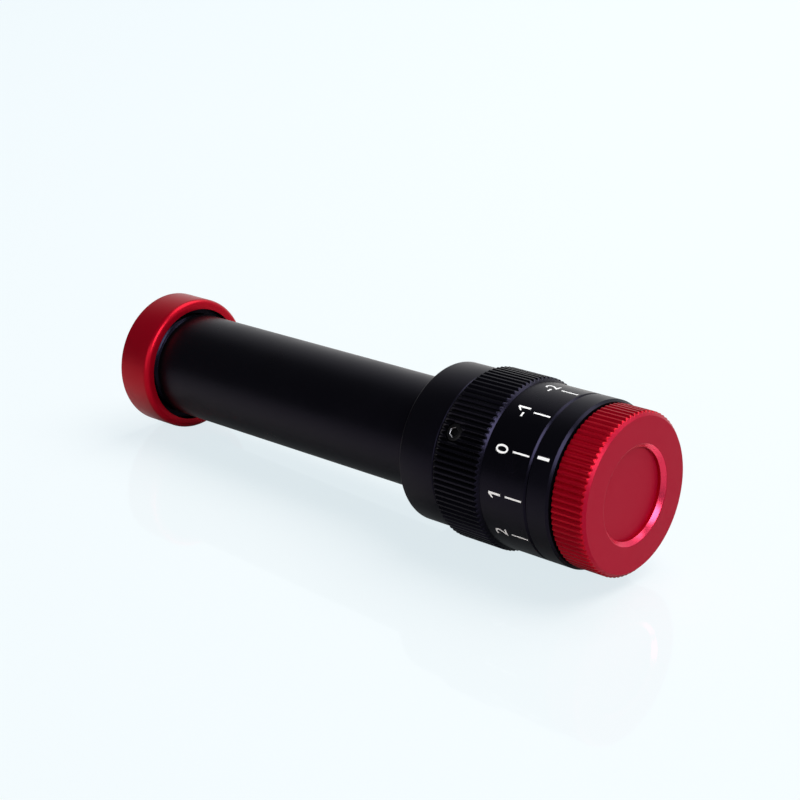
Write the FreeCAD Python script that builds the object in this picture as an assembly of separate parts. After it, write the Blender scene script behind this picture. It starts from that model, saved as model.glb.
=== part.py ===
import FreeCAD, Part
import math
import os

# Laser beam shaper: a tube that turns a round laser beam into one of even brightness.
# It has a lens group near the input end and a second group in the head, which moves
# along the axis when the knurled ring is turned. A screw-on dust cap closes each end.
# All lengths are in millimetres. X is the optical axis, from input to output, and the
# origin is the centre of the tube's input face. Angles are about X, from +Y towards +Z.

# Clearances
FIT = 0.05              # radial, between turned parts that fit or run in each other
LOOSE = 0.3             # between a cap and the end that it covers
FACE_GAP = 0.1          # behind a part that seats on another face

# Main tube
TUBE_R = 14.0
TUBE_WALL = 2.0
TUBE_THREAD_STEP = 0.5  # an M27 x 1 thread on each end of the 28 mm tube
INPUT_THREAD_LENGTH = 8.0
THREAD_RELIEF_DEPTH = 0.6
INPUT_RELIEF_LENGTH = 1.5
THREAD_CHAMFER = 0.5
TUBE_SEEN_LENGTH = 93.5
TUBE_SPIGOT_LENGTH = 8.0

# Head body: the plain collar behind the ring and the sleeve under it
SLEEVE_R = 17.5
SLEEVE_WALL = 2.0
COLLAR_STEP = 2.3       # from the sleeve up to the collar
COLLAR_LENGTH = 10.9
COLLAR_CHAMFER = 0.5
COLLAR_FRONT_CHAMFER = 0.3
HEAD_WEB = 1.5          # wall between the tube's socket and the sleeve's bore

# Adjusting ring: the knurl and the scale band are one piece
RING_WALL = 2.5         # under the scale band
BAND_LENGTH = 13.2
KNURL_HEIGHT = 0.95     # of the knurl over the band
KNURL_LENGTH = 14.05
KNURL_TEETH = 90
KNURL_DEPTH = 0.55
KNURL_CREST_SHARE = 0.28    # flat share of a tooth's pitch
KNURL_CHAMFER = 0.9
BAND_FRONT_CHAMFER = 0.5
WASHER_REAR_THICKNESS = 0.4
WASHER_FRONT_THICKNESS = 0.3
WASHER_WALL = 1.5

# Scale: the ring turns two divisions each way
INDEX_ANGLE = 148.0
DIVISION_DEG = 30.0
DIVISIONS_EACH_WAY = 2
HELICOID_LEAD = 6.0

# Drive screw, which turns the lens cell through an arc slot in the sleeve
SCREW_FROM_RING_REAR = 4.3
SCREW_HEAD_R = 2.1
SCREW_HEAD_HEIGHT = 1.6
SCREW_HEAD_GAP = 0.15
SCREW_R = 1.5
SCREW_TOP_BELOW_CREST = 0.35
SCREW_SHANK_END = 0.15      # above the ring's bore
SCREW_DOG_R = 1.0
SCREW_SOCKET_FLATS = 2.0
SCREW_SOCKET_DEPTH = 1.2
KEYWAY_DEPTH = 1.55
DOG_TIP_GAP = 0.3
SLOT_SIDE_GAP = 0.3
SLOT_END_MARGIN_DEG = 0.8

# Output housing: the index ring, and the neck with the output thread
INDEX_LENGTH = 5.9
INDEX_BACK_CHAMFER = 0.1
INDEX_FRONT_CHAMFER = 0.55
HOUSING_SOCKET_DEPTH = 4.15
NECK_R = 17.5           # M35 x 1
NECK_LENGTH = 6.25
NECK_RELIEF_DEPTH = 0.7
NECK_RELIEF_LENGTH = 1.0
OUTPUT_BORE_MARGIN = 0.5    # round the output lenses

# Front cap
FRONT_CAP_WALL = 1.6
FRONT_CAP_TEETH = 80
FRONT_CAP_KNURL_DEPTH = 0.5
FRONT_CAP_GAP = 0.6     # open gap between the index ring and the cap
FRONT_CAP_FLOOR = 3.0
FRONT_CAP_CHAMFER = 1.0
FRONT_CAP_BACK_CHAMFER = 0.15
CAP_RECESS_R = 11.6
CAP_RECESS_DEPTH = 1.85
CAP_RECESS_EDGE = 0.2

# Rear cap
REAR_CAP_WALL = 4.2
REAR_CAP_FLOOR = 1.7
REAR_CAP_RIM_ROUND = 1.4
REAR_CAP_BACK_CHAMFER = 0.6
REAR_CAP_MOUTH_GAP = 1.4    # round the tube
REAR_CAP_MOUTH_DEPTH = 2.7
REAR_CAP_RIM_GAP = 0.3  # between the cap's rim and the tube's shoulder

# Lenses and the rings that hold them
LENS_LAND = 1.5         # flat ring that a lens is held by
SPANNER_SLOT_WIDTH = 1.4
SPANNER_SLOT_DEPTH = 0.9

# Input lens group
INPUT_MOUTH_DEPTH = 5.8
INPUT_CELL_LENGTH = 18.0
INPUT_CELL_WALL = 1.9
INPUT_CELL_LIP = 1.5
INPUT_OUTER_LENS_EDGE = 3.0
INPUT_OUTER_LENS_RISE = 0.5
INPUT_INNER_LENS_EDGE = 3.6
INPUT_INNER_LENS_RISE = 0.8
INPUT_SPACER_LENGTH = 1.6
INPUT_RETAINER_LENGTH = 2.2
INPUT_LOCK_LENGTH = 2.5
INPUT_LOCK_WALL = 2.0
GLARE_STOP_FROM_SHOULDER = 56.1
GLARE_STOP_THICKNESS = 2.0
GLARE_STOP_WALL = 4.95

# Moving lens cell and output lens group
CELL_BACK_GAP = 1.6     # behind the cell at rest
CELL_LENGTH = 28.0
CELL_WALL = 2.9
OUTPUT_SEAT_FROM_BACK = 11.5
OUTPUT_INNER_LENS_EDGE = 4.0
OUTPUT_INNER_LENS_RISE = 0.9
OUTPUT_OUTER_LENS_EDGE = 3.2
OUTPUT_OUTER_LENS_RISE = 1.3
OUTPUT_SPACER_LENGTH = 2.0
OUTPUT_RETAINER_LENGTH = 2.4

# Radii that follow from a partner
TUBE_BORE_R = TUBE_R - TUBE_WALL
TUBE_THREAD_R = TUBE_R - TUBE_THREAD_STEP
SLEEVE_BORE_R = SLEEVE_R - SLEEVE_WALL
COLLAR_R = SLEEVE_R + COLLAR_STEP
RING_BORE_R = SLEEVE_R + FIT
BAND_R = RING_BORE_R + RING_WALL
KNURL_R = BAND_R + KNURL_HEIGHT
INPUT_CELL_R = TUBE_BORE_R - FIT
INPUT_LENS_R = INPUT_CELL_R - INPUT_CELL_WALL - FIT
LENS_CELL_R = SLEEVE_BORE_R - FIT
KEYWAY_FLOOR_R = LENS_CELL_R - KEYWAY_DEPTH
OUTPUT_LENS_R = LENS_CELL_R - CELL_WALL - FIT
OUTPUT_BORE_R = OUTPUT_LENS_R + OUTPUT_BORE_MARGIN
FRONT_CAP_BORE_R = NECK_R + LOOSE
FRONT_CAP_R = FRONT_CAP_BORE_R + FRONT_CAP_WALL
REAR_CAP_BORE_R = TUBE_THREAD_R + LOOSE
REAR_CAP_R = REAR_CAP_BORE_R + REAR_CAP_WALL
REAR_CAP_MOUTH_R = TUBE_R + REAR_CAP_MOUTH_GAP
SCREW_TOP_R = KNURL_R - SCREW_TOP_BELOW_CREST
SCREW_SEAT_R = SCREW_TOP_R - SCREW_HEAD_HEIGHT

# Stations along the axis, worked out from the lengths above
TUBE_SHOULDER_X = INPUT_THREAD_LENGTH + INPUT_RELIEF_LENGTH
COLLAR_BACK_X = TUBE_SHOULDER_X + TUBE_SEEN_LENGTH
COLLAR_FRONT_X = COLLAR_BACK_X + COLLAR_LENGTH
TUBE_END_X = COLLAR_BACK_X + TUBE_SPIGOT_LENGTH
SLEEVE_BORE_X = TUBE_END_X + FACE_GAP + HEAD_WEB
RING_BACK_X = COLLAR_FRONT_X + WASHER_REAR_THICKNESS
BAND_X = RING_BACK_X + KNURL_LENGTH
RING_FRONT_X = BAND_X + BAND_LENGTH
HOUSING_BACK_X = RING_FRONT_X + WASHER_FRONT_THICKNESS
HOUSING_WEB_X = HOUSING_BACK_X + HOUSING_SOCKET_DEPTH
INDEX_FRONT_X = HOUSING_BACK_X + INDEX_LENGTH
NECK_END_X = INDEX_FRONT_X + NECK_LENGTH
FRONT_CAP_BACK_X = INDEX_FRONT_X + FRONT_CAP_GAP
FRONT_CAP_INNER_X = NECK_END_X + LOOSE
FRONT_CAP_FACE_X = FRONT_CAP_INNER_X + FRONT_CAP_FLOOR
SCREW_X = RING_BACK_X + SCREW_FROM_RING_REAR
CELL_BACK_X = SLEEVE_BORE_X + CELL_BACK_GAP
CELL_FRONT_X = CELL_BACK_X + CELL_LENGTH

# Travels
TURN_LIMIT_DEG = DIVISION_DEG * DIVISIONS_EACH_WAY
CELL_TRAVEL = HELICOID_LEAD * TURN_LIMIT_DEG / 360.0

X_AXIS = FreeCAD.Vector(1, 0, 0)
CENTRE = FreeCAD.Vector(0, 0, 0)


def turned(points):
    """A solid turned about the X axis from a closed outline of (x, radius) points."""
    corners = [FreeCAD.Vector(x, radius, 0) for x, radius in points]
    corners.append(corners[0])
    outline = Part.Face(Part.Wire(Part.makePolygon(corners)))
    return outline.revolve(CENTRE, X_AXIS, 360)


def rod(radius, x_from, x_to):
    """A plain cylinder along the axis."""
    return Part.makeCylinder(radius, x_to - x_from, FreeCAD.Vector(x_from, 0, 0), X_AXIS)


def stud(radius, r_from, r_to):
    """A plain cylinder at the drive screw's place that stands outwards along +Y."""
    return Part.makeCylinder(radius, r_to - r_from, FreeCAD.Vector(SCREW_X, r_from, 0),
                             FreeCAD.Vector(0, 1, 0))


def turned_about(shape, angle_deg):
    """A copy of a shape that was built at angle 0 (along +Y), turned about X to its angle."""
    copy = shape.copy()
    copy.rotate(CENTRE, X_AXIS, angle_deg)
    return copy


def polygon(points, x):
    """A closed outline across the axis at x, from (angle, radius) points."""
    corners = [FreeCAD.Vector(x, radius * math.cos(angle), radius * math.sin(angle))
               for angle, radius in points]
    return Part.makePolygon(corners + corners[:1])


def tooth_blank(crest_r, teeth, sections):
    """A blank with one flat side for each knurl tooth. A section is (x, depth under the crests),
    so a knurl cut to this blank gets a flat chamfer facet on each tooth end."""
    half_pitch = math.pi / teeth
    flat_r = crest_r * math.cos(half_pitch * KNURL_CREST_SHARE)
    rings = []
    for x, depth in sections:
        corner_r = (flat_r - depth) / math.cos(half_pitch)
        rings.append(polygon([(half_pitch * (2 * side + 1), corner_r) for side in range(teeth)], x))
    faces = [Part.Face(rings[0]), Part.Face(rings[-1])]
    for back, front in zip(rings, rings[1:]):
        corners = zip(back.Vertexes, back.Vertexes[1:] + back.Vertexes[:1],
                      front.Vertexes[1:] + front.Vertexes[:1], front.Vertexes)
        for around in corners:
            points = [vertex.Point for vertex in around]
            faces.append(Part.Face(Part.makePolygon(points + points[:1])))
    return Part.Solid(Part.makeShell(faces))


def knurl_prism(crest_r, depth, teeth, x_from, x_to):
    """A straight knurl without its chamfers: V grooves between flat-topped teeth."""
    pitch = 2 * math.pi / teeth
    crest_half = pitch * KNURL_CREST_SHARE / 2
    corners = []
    for tooth in range(teeth):
        middle = tooth * pitch
        corners += [(middle - crest_half, crest_r), (middle + crest_half, crest_r),
                    (middle + pitch / 2, crest_r - depth)]
    return Part.Face(polygon(corners, x_from)).extrude(FreeCAD.Vector(x_to - x_from, 0, 0))


def spanner_slots(outer_r, x_face):
    """Two slots across a ring's front face, for a pin spanner."""
    corner = FreeCAD.Vector(x_face - SPANNER_SLOT_DEPTH, -SPANNER_SLOT_WIDTH / 2, -outer_r - 1)
    return Part.makeBox(SPANNER_SLOT_DEPTH + 1, SPANNER_SLOT_WIDTH, 2 * outer_r + 2, corner)


def lens(radius, x_flat, edge, rise):
    """A lens with one flat face at x_flat. edge is signed along X: the other face is that far
    from the flat at its land, and bulges out by a spherical cap of the given height."""
    clear_r = radius - LENS_LAND
    way = math.copysign(1, edge)
    x_land = x_flat + edge
    x_top = x_land + way * rise
    sphere_r = (clear_r ** 2 + rise ** 2) / (2 * rise)
    half_turn = math.asin(clear_r / sphere_r) / 2
    on_arc = FreeCAD.Vector(x_top - way * sphere_r * (1 - math.cos(half_turn)),
                            sphere_r * math.sin(half_turn), 0)
    straight = [(x_top, 0), (x_flat, 0), (x_flat, radius), (x_land, radius), (x_land, clear_r)]
    corners = [FreeCAD.Vector(x, r, 0) for x, r in straight]
    edges = [Part.LineSegment(a, b).toShape() for a, b in zip(corners, corners[1:])]
    edges.append(Part.Arc(corners[-1], on_arc, corners[0]).toShape())
    return Part.Face(Part.Wire(edges)).revolve(CENTRE, X_AXIS, 360)


def main_tube():
    """The long tube, with the input thread and the threaded spigot that the head takes."""
    relief_r = TUBE_THREAD_R - THREAD_RELIEF_DEPTH
    outline = [(0, TUBE_BORE_R), (0, TUBE_THREAD_R - THREAD_CHAMFER),
               (THREAD_CHAMFER, TUBE_THREAD_R), (INPUT_THREAD_LENGTH, TUBE_THREAD_R),
               (INPUT_THREAD_LENGTH, relief_r), (TUBE_SHOULDER_X, relief_r),
               (TUBE_SHOULDER_X, TUBE_R), (COLLAR_BACK_X, TUBE_R), (COLLAR_BACK_X, TUBE_THREAD_R),
               (TUBE_END_X, TUBE_THREAD_R), (TUBE_END_X, TUBE_BORE_R)]
    return turned(outline)


def drive_arc_slot():
    """The arc slot in the sleeve: its ends stop the drive screw's dog at the scale's limits."""
    dog_half_deg = math.degrees(math.asin(SCREW_DOG_R / SLEEVE_BORE_R))
    half_deg = TURN_LIMIT_DEG + dog_half_deg + SLOT_END_MARGIN_DEG
    half_width = SCREW_DOG_R + SLOT_SIDE_GAP
    low_x = SCREW_X - half_width
    high_x = SCREW_X + half_width
    corners = [FreeCAD.Vector(low_x, SLEEVE_BORE_R - 1, 0), FreeCAD.Vector(high_x, SLEEVE_BORE_R - 1, 0),
               FreeCAD.Vector(high_x, SLEEVE_R + 1, 0), FreeCAD.Vector(low_x, SLEEVE_R + 1, 0)]
    corners.append(corners[0])
    section = Part.Face(Part.Wire(Part.makePolygon(corners)))
    sector = section.revolve(CENTRE, X_AXIS, 2 * half_deg)
    return turned_about(sector, INDEX_ANGLE - half_deg)


def head_body():
    """The collar behind the ring, and the sleeve that the ring turns on and the cell moves in."""
    socket_r = TUBE_THREAD_R + FIT
    outline = [(COLLAR_BACK_X, socket_r), (COLLAR_BACK_X, COLLAR_R - COLLAR_CHAMFER),
               (COLLAR_BACK_X + COLLAR_CHAMFER, COLLAR_R),
               (COLLAR_FRONT_X - COLLAR_FRONT_CHAMFER, COLLAR_R),
               (COLLAR_FRONT_X, COLLAR_R - COLLAR_FRONT_CHAMFER),
               (COLLAR_FRONT_X, SLEEVE_R), (HOUSING_WEB_X - FACE_GAP, SLEEVE_R),
               (HOUSING_WEB_X - FACE_GAP, SLEEVE_BORE_R), (SLEEVE_BORE_X, SLEEVE_BORE_R),
               (SLEEVE_BORE_X, TUBE_BORE_R), (TUBE_END_X + FACE_GAP, TUBE_BORE_R),
               (TUBE_END_X + FACE_GAP, socket_r)]
    return turned(outline).cut(drive_arc_slot())


def sliding_washer(x_from, thickness):
    """A thin washer beside the ring, centred on the sleeve."""
    inner_r = SLEEVE_R + FIT
    outer_r = inner_r + WASHER_WALL
    return rod(outer_r, x_from, x_from + thickness).cut(rod(inner_r, x_from - 1, x_from + thickness + 1))


def adjusting_ring():
    """The knurled ring with its scale band, bored to turn on the sleeve."""
    knurl = knurl_prism(KNURL_R, KNURL_DEPTH, KNURL_TEETH, RING_BACK_X, BAND_X)
    blank = tooth_blank(KNURL_R, KNURL_TEETH,
                        [(RING_BACK_X, KNURL_CHAMFER), (RING_BACK_X + KNURL_CHAMFER, 0),
                         (BAND_X - KNURL_CHAMFER, 0), (BAND_X, KNURL_CHAMFER)])
    knurled = turned_about(knurl.common(blank), INDEX_ANGLE)
    band = turned([(BAND_X - 1, 0), (BAND_X - 1, BAND_R),
                   (RING_FRONT_X - BAND_FRONT_CHAMFER, BAND_R),
                   (RING_FRONT_X, BAND_R - BAND_FRONT_CHAMFER), (RING_FRONT_X, 0)])
    bore = rod(RING_BORE_R, RING_BACK_X - 1, RING_FRONT_X + 1)
    screw_hole = stud(SCREW_R + FIT, 0, KNURL_R).fuse(stud(SCREW_HEAD_R + SCREW_HEAD_GAP,
                                                           SCREW_SEAT_R, KNURL_R))
    ring = knurled.fuse(band).removeSplitter().cut(bore)
    return ring.cut(turned_about(screw_hole, INDEX_ANGLE))


def drive_screw():
    """A socket head screw with a dog point that reaches into the cell's keyway."""
    shank_end_r = RING_BORE_R + SCREW_SHANK_END
    head = stud(SCREW_HEAD_R, SCREW_SEAT_R, SCREW_TOP_R)
    shank = stud(SCREW_R, shank_end_r, SCREW_SEAT_R)
    dog = stud(SCREW_DOG_R, KEYWAY_FLOOR_R + DOG_TIP_GAP, shank_end_r)
    corner_r = SCREW_SOCKET_FLATS / math.sqrt(3)
    corners = []
    for side in range(7):
        angle = math.radians(60 * side)
        corners.append(FreeCAD.Vector(SCREW_X + corner_r * math.cos(angle),
                                      SCREW_TOP_R - SCREW_SOCKET_DEPTH, corner_r * math.sin(angle)))
    hexagon = Part.Face(Part.Wire(Part.makePolygon(corners)))
    socket = hexagon.extrude(FreeCAD.Vector(0, SCREW_SOCKET_DEPTH + 1, 0))
    return turned_about(head.fuse([shank, dog]).removeSplitter().cut(socket), INDEX_ANGLE)


def output_housing():
    """The index ring with its front chamfer, the neck for the cap's thread and the output bore."""
    relief_r = NECK_R - NECK_RELIEF_DEPTH
    outline = [(HOUSING_BACK_X, SLEEVE_R + FIT), (HOUSING_BACK_X, BAND_R - INDEX_BACK_CHAMFER),
               (HOUSING_BACK_X + INDEX_BACK_CHAMFER, BAND_R),
               (INDEX_FRONT_X - INDEX_FRONT_CHAMFER, BAND_R),
               (INDEX_FRONT_X, BAND_R - INDEX_FRONT_CHAMFER), (INDEX_FRONT_X, relief_r),
               (INDEX_FRONT_X + NECK_RELIEF_LENGTH, relief_r),
               (INDEX_FRONT_X + NECK_RELIEF_LENGTH, NECK_R), (NECK_END_X - THREAD_CHAMFER, NECK_R),
               (NECK_END_X, NECK_R - THREAD_CHAMFER), (NECK_END_X, OUTPUT_BORE_R),
               (HOUSING_WEB_X, OUTPUT_BORE_R), (HOUSING_WEB_X, SLEEVE_R + FIT)]
    return turned(outline)


def keyway():
    """The cut in the lens cell that the dog slides along while the cell moves."""
    half_width = SCREW_DOG_R + FIT
    half_run = CELL_TRAVEL + SLOT_SIDE_GAP
    height = LENS_CELL_R - KEYWAY_FLOOR_R + 1
    straight = Part.makeBox(2 * half_run, height, 2 * half_width,
                            FreeCAD.Vector(SCREW_X - half_run, KEYWAY_FLOOR_R, -half_width))
    cutter = straight
    for x_end in (SCREW_X - half_run, SCREW_X + half_run):
        end = Part.makeCylinder(half_width, height, FreeCAD.Vector(x_end, KEYWAY_FLOOR_R, 0),
                                FreeCAD.Vector(0, 1, 0))
        cutter = cutter.fuse(end)
    return turned_about(cutter, INDEX_ANGLE)


def lens_cell():
    """The moving cell: a shoulder for the lenses in front, the keyway behind it."""
    seat_x = CELL_BACK_X + OUTPUT_SEAT_FROM_BACK
    back_bore_r = OUTPUT_LENS_R - LENS_LAND
    outline = [(CELL_BACK_X, back_bore_r), (CELL_BACK_X, LENS_CELL_R), (CELL_FRONT_X, LENS_CELL_R),
               (CELL_FRONT_X, OUTPUT_LENS_R + FIT), (seat_x, OUTPUT_LENS_R + FIT),
               (seat_x, back_bore_r)]
    return turned(outline).cut(keyway())


def ring_between(outer_r, wall, x_from, length):
    """A plain spacer or lock ring."""
    return rod(outer_r, x_from, x_from + length).cut(rod(outer_r - wall, x_from - 1, x_from + length + 1))


def input_group():
    """The fixed lens group: cell, two lenses, spacer, retainer and the ring that locks the cell."""
    cell_end_x = INPUT_MOUTH_DEPTH + INPUT_CELL_LENGTH
    bore_r = INPUT_LENS_R + FIT
    lip_r = INPUT_LENS_R - LENS_LAND
    seat_x = INPUT_MOUTH_DEPTH + INPUT_CELL_LIP
    cell = turned([(INPUT_MOUTH_DEPTH, lip_r), (INPUT_MOUTH_DEPTH, INPUT_CELL_R),
                   (cell_end_x, INPUT_CELL_R), (cell_end_x, bore_r), (seat_x, bore_r),
                   (seat_x, lip_r)])
    spacer_x = seat_x + INPUT_OUTER_LENS_EDGE
    inner_x = spacer_x + INPUT_SPACER_LENGTH
    retainer_x = inner_x + INPUT_INNER_LENS_EDGE
    retainer = ring_between(INPUT_LENS_R, LENS_LAND, retainer_x, INPUT_RETAINER_LENGTH)
    retainer_face_x = retainer_x + INPUT_RETAINER_LENGTH
    lock = ring_between(INPUT_CELL_R, INPUT_LOCK_WALL, cell_end_x, INPUT_LOCK_LENGTH)
    lock_face_x = cell_end_x + INPUT_LOCK_LENGTH
    return {
        "input_cell": cell,
        "input_lens_outer": lens(INPUT_LENS_R, spacer_x, -INPUT_OUTER_LENS_EDGE,
                                 INPUT_OUTER_LENS_RISE),
        "input_spacer": ring_between(INPUT_LENS_R, LENS_LAND, spacer_x, INPUT_SPACER_LENGTH),
        "input_lens_inner": lens(INPUT_LENS_R, inner_x, INPUT_INNER_LENS_EDGE,
                                 INPUT_INNER_LENS_RISE),
        "input_retainer": retainer.cut(spanner_slots(INPUT_LENS_R, retainer_face_x)),
        "input_lock_ring": lock.cut(spanner_slots(INPUT_CELL_R, lock_face_x)),
    }


def output_group():
    """The moving group's lenses, spacer and retainer, from the cell's shoulder forwards."""
    inner_x = CELL_BACK_X + OUTPUT_SEAT_FROM_BACK
    spacer_x = inner_x + OUTPUT_INNER_LENS_EDGE
    outer_x = spacer_x + OUTPUT_SPACER_LENGTH
    retainer_x = outer_x + OUTPUT_OUTER_LENS_EDGE
    retainer = ring_between(OUTPUT_LENS_R, LENS_LAND, retainer_x, OUTPUT_RETAINER_LENGTH)
    retainer_face_x = retainer_x + OUTPUT_RETAINER_LENGTH
    return {
        "output_lens_inner": lens(OUTPUT_LENS_R, inner_x, OUTPUT_INNER_LENS_EDGE,
                                  OUTPUT_INNER_LENS_RISE),
        "output_spacer": ring_between(OUTPUT_LENS_R, LENS_LAND, spacer_x, OUTPUT_SPACER_LENGTH),
        "output_lens_outer": lens(OUTPUT_LENS_R, outer_x, OUTPUT_OUTER_LENS_EDGE,
                                  OUTPUT_OUTER_LENS_RISE),
        "output_retainer": retainer.cut(spanner_slots(OUTPUT_LENS_R, retainer_face_x)),
    }


def glare_stop():
    """A stop plate in the tube that keeps stray light off the output lenses."""
    x_from = TUBE_SHOULDER_X + GLARE_STOP_FROM_SHOULDER
    return ring_between(TUBE_BORE_R - FIT, GLARE_STOP_WALL, x_from, GLARE_STOP_THICKNESS)


def front_cap():
    """The knurled cap with its recessed face, open at the back to take the neck."""
    knurl = knurl_prism(FRONT_CAP_R, FRONT_CAP_KNURL_DEPTH, FRONT_CAP_TEETH,
                        FRONT_CAP_BACK_X, FRONT_CAP_FACE_X)
    blank = tooth_blank(FRONT_CAP_R, FRONT_CAP_TEETH,
                        [(FRONT_CAP_BACK_X, FRONT_CAP_BACK_CHAMFER),
                         (FRONT_CAP_BACK_X + FRONT_CAP_BACK_CHAMFER, 0),
                         (FRONT_CAP_FACE_X - FRONT_CAP_CHAMFER, 0),
                         (FRONT_CAP_FACE_X, FRONT_CAP_CHAMFER)])
    recess_x = FRONT_CAP_FACE_X - CAP_RECESS_DEPTH
    recess = turned([(recess_x, 0), (recess_x, CAP_RECESS_R),
                     (FRONT_CAP_FACE_X - CAP_RECESS_EDGE, CAP_RECESS_R),
                     (FRONT_CAP_FACE_X, CAP_RECESS_R + CAP_RECESS_EDGE),
                     (FRONT_CAP_FACE_X + 1, CAP_RECESS_R + CAP_RECESS_EDGE),
                     (FRONT_CAP_FACE_X + 1, 0)])
    bore = rod(FRONT_CAP_BORE_R, FRONT_CAP_BACK_X - 1, FRONT_CAP_INNER_X)
    return knurl.common(blank).removeSplitter().cut(recess).cut(bore)


def rear_cap():
    """The smooth cap with its rounded rim, threaded inside and with a wider mouth."""
    inner_x = -LOOSE
    back_x = inner_x - REAR_CAP_FLOOR
    rim_x = TUBE_SHOULDER_X - REAR_CAP_RIM_GAP
    mouth_x = rim_x - REAR_CAP_MOUTH_DEPTH
    round_r = REAR_CAP_RIM_ROUND
    middle_x = rim_x - round_r + round_r * math.sin(math.pi / 4)
    middle_r = REAR_CAP_R - round_r + round_r * math.cos(math.pi / 4)
    straight = [(rim_x, REAR_CAP_R - round_r), (rim_x, REAR_CAP_MOUTH_R), (mouth_x, REAR_CAP_MOUTH_R),
                (mouth_x, REAR_CAP_BORE_R), (inner_x, REAR_CAP_BORE_R), (inner_x, 0), (back_x, 0),
                (back_x, REAR_CAP_R - REAR_CAP_BACK_CHAMFER),
                (back_x + REAR_CAP_BACK_CHAMFER, REAR_CAP_R), (rim_x - round_r, REAR_CAP_R)]
    corners = [FreeCAD.Vector(x, radius, 0) for x, radius in straight]
    edges = [Part.LineSegment(a, b).toShape() for a, b in zip(corners, corners[1:])]
    edges.append(Part.Arc(corners[-1], FreeCAD.Vector(middle_x, middle_r, 0), corners[0]).toShape())
    return Part.Face(Part.Wire(edges)).revolve(CENTRE, X_AXIS, 360)


def build():
    """Every piece of the beam shaper by name."""
    pieces = {
        "main_tube": main_tube(),
        "head_body": head_body(),
        "glare_stop": glare_stop(),
        "washer_rear": sliding_washer(COLLAR_FRONT_X, WASHER_REAR_THICKNESS),
        "washer_front": sliding_washer(RING_FRONT_X, WASHER_FRONT_THICKNESS),
        "adjusting_ring": adjusting_ring(),
        "drive_screw": drive_screw(),
        "output_housing": output_housing(),
        "lens_cell": lens_cell(),
        "front_cap": front_cap(),
        "rear_cap": rear_cap(),
    }
    pieces.update(input_group())
    pieces.update(output_group())
    return pieces


os.makedirs("parts", exist_ok=True)
for name, shape in build().items():
    if shape.ShapeType == "Compound" and len(shape.Solids) == 1:
        shape = shape.Solids[0]
    print(name, len(shape.Solids), shape.isValid(), round(shape.Volume, 2))
    shape.exportStep("parts/" + name + ".step")
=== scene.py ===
import math

import bmesh
import bpy
from mathutils import Euler, Matrix, Vector


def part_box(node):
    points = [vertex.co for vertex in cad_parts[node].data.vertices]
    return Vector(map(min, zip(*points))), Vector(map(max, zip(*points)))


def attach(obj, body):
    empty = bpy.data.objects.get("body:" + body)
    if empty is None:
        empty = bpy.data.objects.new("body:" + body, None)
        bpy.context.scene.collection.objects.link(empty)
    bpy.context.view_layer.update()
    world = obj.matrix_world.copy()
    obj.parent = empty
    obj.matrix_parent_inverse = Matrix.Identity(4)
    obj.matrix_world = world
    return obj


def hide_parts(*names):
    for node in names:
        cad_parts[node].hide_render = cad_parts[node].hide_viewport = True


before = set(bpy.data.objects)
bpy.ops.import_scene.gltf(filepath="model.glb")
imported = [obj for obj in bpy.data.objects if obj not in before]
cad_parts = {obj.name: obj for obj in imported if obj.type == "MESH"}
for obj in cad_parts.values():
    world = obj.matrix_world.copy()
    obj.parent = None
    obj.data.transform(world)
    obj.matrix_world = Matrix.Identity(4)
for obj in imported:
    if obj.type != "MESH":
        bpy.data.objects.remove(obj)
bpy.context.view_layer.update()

# Laser beam shaper: a black anodised tube with a knurled adjusting ring, a white scale, and a
# red anodised dust cap on each end. Lengths are in millimetres until a mesh is made, X is the
# optical axis from input to output, and angles are about X, from +Y towards +Z.
MM = 0.001

# How fine the turned pieces are
TURN_STEPS = 256
EDGE_BREAK = 0.09           # radius that a sharp turned edge is broken to
EDGE_STEPS = 3
EDGE_SHARE = 0.4            # the most of a short edge that a rounding may take at each end
SHARP_DEG = 38.0
TINY = 1e-6

# Where the scale stands
INDEX_ANGLE = 148.0
DIVISION_DEG = 30.0
SCALE_NUMBERS = (-2, -1, 0, 1, 2)

# Scales of the finishes, as they are made
TURNING_PITCH_MM = 0.12     # feed of the lathe tool
TURNING_STRETCH = 12.0      # how much the marks vary round the axis, in waves a metre
BLAST_GRAIN_MM = 0.08
PLAIN_GRAIN_MM = 0.15       # of a surface with no treatment that shows
BUMP_DEPTH_MM = 0.02
DYE_SHEEN = "#C4BCFF"       # violet cast of a black dye in a thick oxide
SHEEN_PATCH_MM = 9.0
SHEEN_SWING = 0.03


def span(node):
    """A CAD node's first and last station along the axis and its outer radius, in millimetres."""
    low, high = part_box(node)
    return low.x / MM, high.x / MM, high.z / MM


TUBE_BACK, TUBE_END, TUBE_R = span("main_tube")
HEAD_BACK, SLEEVE_END, COLLAR_R = span("head_body")
RING_BACK, RING_FRONT, KNURL_R = span("adjusting_ring")
HOUSING_BACK, NECK_END, INDEX_R = span("output_housing")
CAP_BACK, CAP_FACE, CAP_R = span("front_cap")
REAR_BACK, REAR_RIM, REAR_R = span("rear_cap")
LENS_CELL_R = span("lens_cell")[2]


def linear(hex_colour):
    """An sRGB hex colour as the linear values that a shader takes."""
    channels = [int(hex_colour[i:i + 2], 16) / 255 for i in (1, 3, 5)]
    return [c / 12.92 if c <= 0.04045 else ((c + 0.055) / 1.055) ** 2.4 for c in channels] + [1.0]


def add_node(tree, kind, settings=None, links=None):
    """A shader node with its properties and sockets set and its inputs linked."""
    node = tree.nodes.new(kind)
    for name, value in (settings or {}).items():
        if isinstance(name, str) and hasattr(node, name):
            setattr(node, name, value)
        else:
            node.inputs[name].default_value = value
    for name, source in (links or {}).items():
        tree.links.new(source, node.inputs[name])
    return node


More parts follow.
